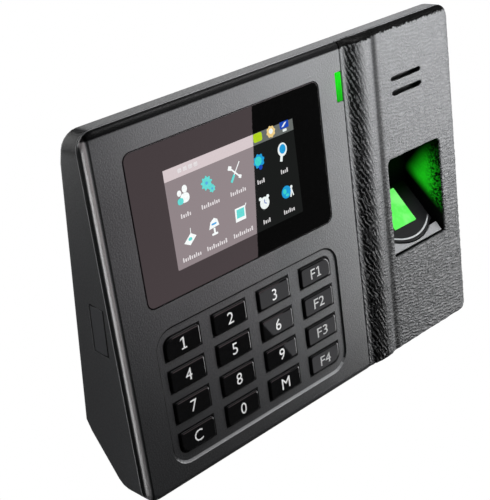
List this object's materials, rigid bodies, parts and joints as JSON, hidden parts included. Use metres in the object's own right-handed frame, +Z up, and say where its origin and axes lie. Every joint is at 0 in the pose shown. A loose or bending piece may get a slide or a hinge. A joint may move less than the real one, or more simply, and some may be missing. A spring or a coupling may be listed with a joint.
{
  "type": "fingerprint scanner terminal",
  "caption": "Wall-mounted fingerprint terminal: wedge casing, display window, keypad with glossy keys, finger sensor in a textured side cover, USB flap and hang-on wall plate.",
  "frame": {"origin": "middle of the wall plate's back face, on the wall plane", "axes": "+Z up along the wall, +Y into the wall (the outward normal of the plate's back face), front of the terminal towards -Y, +X to the terminal's right seen from the front. The front face leans back by 9.3 degrees, so its keys press along (0, 0.987, -0.161)"},
  "size_m": [0.185, 0.0357, 0.1365],
  "materials": {
    "front_plastic": "fine satin grain, charcoal",
    "cover_plastic": "coarse leather-like moulded grain, mid grey",
    "rear_plastic": "fine matte grain",
    "plate_steel": "zinc plated sheet",
    "window_gloss": "polished black",
    "display": "lit colour display",
    "silicone": "matte",
    "board": "solder mask",
    "black_part": "satin black",
    "lit_glass": "sensor prism lit green from inside",
    "green_lens": "translucent green light pipe",
    "plated_metal": "tin plated",
    "flap_rubber": "matte",
    "terminal_plastic": "satin",
    "flex": "amber film",
    "cable": "matte",
    "screw_steel": "zinc plated",
    "label": "blank silver film",
    "key_gloss": "polished black"
  },
  "bodies": {
    "wall_bracket": {"wall_plate": "plate_steel", "lock_screw": "screw_steel"},
    "terminal": {"front_casing": "front_plastic", "sensor_cover": "cover_plastic", "rear_casing": "rear_plastic", "display_window": "window_gloss", "lcd_panel": "display", "lcd_frame": "plate_steel", "keypad_mat": "silicone", "key_board": "board", "main_board": "board", "speaker": "black_part", "sensor_housing": "black_part", "sensor_glass": "lit_glass", "sensor_board": "board", "finger_well": "cover_plastic", "finger_ledge": "cover_plastic", "well_back": "black_part", "status_light": "green_lens", "usb_socket": "plated_metal", "usb_board": "board", "ethernet_jack": "plated_metal", "power_jack": "black_part", "terminal_block": "terminal_plastic", "backup_battery": "plated_metal", "relay": "black_part", "lcd_ribbon": "flex", "key_ribbon": "flex", "sensor_cable": "cable", "speaker_cable": "cable", "case_screw_1": "screw_steel", "case_screw_2": "screw_steel", "case_screw_3": "screw_steel", "case_screw_4": "screw_steel", "tamper_switch": "black_part", "rating_label": "label"},
    "key_1_cap": {"key_1": "key_gloss"},
    "key_2_cap": {"key_2": "key_gloss"},
    "key_3_cap": {"key_3": "key_gloss"},
    "key_f1_cap": {"key_f1": "key_gloss"},
    "key_4_cap": {"key_4": "key_gloss"},
    "key_5_cap": {"key_5": "key_gloss"},
    "key_6_cap": {"key_6": "key_gloss"},
    "key_f2_cap": {"key_f2": "key_gloss"},
    "key_7_cap": {"key_7": "key_gloss"},
    "key_8_cap": {"key_8": "key_gloss"},
    "key_9_cap": {"key_9": "key_gloss"},
    "key_f3_cap": {"key_f3": "key_gloss"},
    "key_c_cap": {"key_c": "key_gloss"},
    "key_0_cap": {"key_0": "key_gloss"},
    "key_m_cap": {"key_m": "key_gloss"},
    "key_f4_cap": {"key_f4": "key_gloss"},
    "usb_cover": {"usb_flap": "flap_rubber"},
    "tamper_pin": {"tamper_plunger": "flap_rubber"}
  },
  "joints": [
    {"name": "terminal_lift", "type": "slide", "parent": "wall_bracket", "child": "terminal", "axis": [0, 0, 1], "range_m": [0, 0.006]},
    {"name": "key_1_press", "type": "slide", "parent": "terminal", "child": "key_1_cap", "axis": [0, 0.9869, -0.1612], "range_m": [0, 0.001], "stiffness_N_per_m": 200, "springref_m": -0.0006},
    {"name": "key_2_press", "type": "slide", "parent": "terminal", "child": "key_2_cap", "axis": [0, 0.9869, -0.1612], "range_m": [0, 0.001], "stiffness_N_per_m": 200, "springref_m": -0.0006},
    {"name": "key_3_press", "type": "slide", "parent": "terminal", "child": "key_3_cap", "axis": [0, 0.9869, -0.1612], "range_m": [0, 0.001], "stiffness_N_per_m": 200, "springref_m": -0.0006},
    {"name": "key_f1_press", "type": "slide", "parent": "terminal", "child": "key_f1_cap", "axis": [0, 0.9869, -0.1612], "range_m": [0, 0.001], "stiffness_N_per_m": 200, "springref_m": -0.0006},
    {"name": "key_4_press", "type": "slide", "parent": "terminal", "child": "key_4_cap", "axis": [0, 0.9869, -0.1612], "range_m": [0, 0.001], "stiffness_N_per_m": 200, "springref_m": -0.0006},
    {"name": "key_5_press", "type": "slide", "parent": "terminal", "child": "key_5_cap", "axis": [0, 0.9869, -0.1612], "range_m": [0, 0.001], "stiffness_N_per_m": 200, "springref_m": -0.0006},
    {"name": "key_6_press", "type": "slide", "parent": "terminal", "child": "key_6_cap", "axis": [0, 0.9869, -0.1612], "range_m": [0, 0.001], "stiffness_N_per_m": 200, "springref_m": -0.0006},
    {"name": "key_f2_press", "type": "slide", "parent": "terminal", "child": "key_f2_cap", "axis": [0, 0.9869, -0.1612], "range_m": [0, 0.001], "stiffness_N_per_m": 200, "springref_m": -0.0006},
    {"name": "key_7_press", "type": "slide", "parent": "terminal", "child": "key_7_cap", "axis": [0, 0.9869, -0.1612], "range_m": [0, 0.001], "stiffness_N_per_m": 200, "springref_m": -0.0006},
    {"name": "key_8_press", "type": "slide", "parent": "terminal", "child": "key_8_cap", "axis": [0, 0.9869, -0.1612], "range_m": [0, 0.001], "stiffness_N_per_m": 200, "springref_m": -0.0006},
    {"name": "key_9_press", "type": "slide", "parent": "terminal", "child": "key_9_cap", "axis": [0, 0.9869, -0.1612], "range_m": [0, 0.001], "stiffness_N_per_m": 200, "springref_m": -0.0006},
    {"name": "key_f3_press", "type": "slide", "parent": "terminal", "child": "key_f3_cap", "axis": [0, 0.9869, -0.1612], "range_m": [0, 0.001], "stiffness_N_per_m": 200, "springref_m": -0.0006},
    {"name": "key_c_press", "type": "slide", "parent": "terminal", "child": "key_c_cap", "axis": [0, 0.9869, -0.1612], "range_m": [0, 0.001], "stiffness_N_per_m": 200, "springref_m": -0.0006},
    {"name": "key_0_press", "type": "slide", "parent": "terminal", "child": "key_0_cap", "axis": [0, 0.9869, -0.1612], "range_m": [0, 0.001], "stiffness_N_per_m": 200, "springref_m": -0.0006},
    {"name": "key_m_press", "type": "slide", "parent": "terminal", "child": "key_m_cap", "axis": [0, 0.9869, -0.1612], "range_m": [0, 0.001], "stiffness_N_per_m": 200, "springref_m": -0.0006},
    {"name": "key_f4_press", "type": "slide", "parent": "terminal", "child": "key_f4_cap", "axis": [0, 0.9869, -0.1612], "range_m": [0, 0.001], "stiffness_N_per_m": 200, "springref_m": -0.0006},
    {"name": "usb_flap_hinge", "type": "hinge", "parent": "terminal", "child": "usb_cover", "pos_m": [-0.0925, -0.0102, -0.00704], "axis": [0, -0.0584, -0.9983], "range_deg": [0, 110], "stiffness_Nm_per_rad": 0.0004},
    {"name": "tamper_plunger_slide", "type": "slide", "parent": "terminal", "child": "tamper_pin", "axis": [0, -1, 0], "range_m": [0, 0.0008], "stiffness_N_per_m": 6, "springref_m": -0.0005}
  ]
}
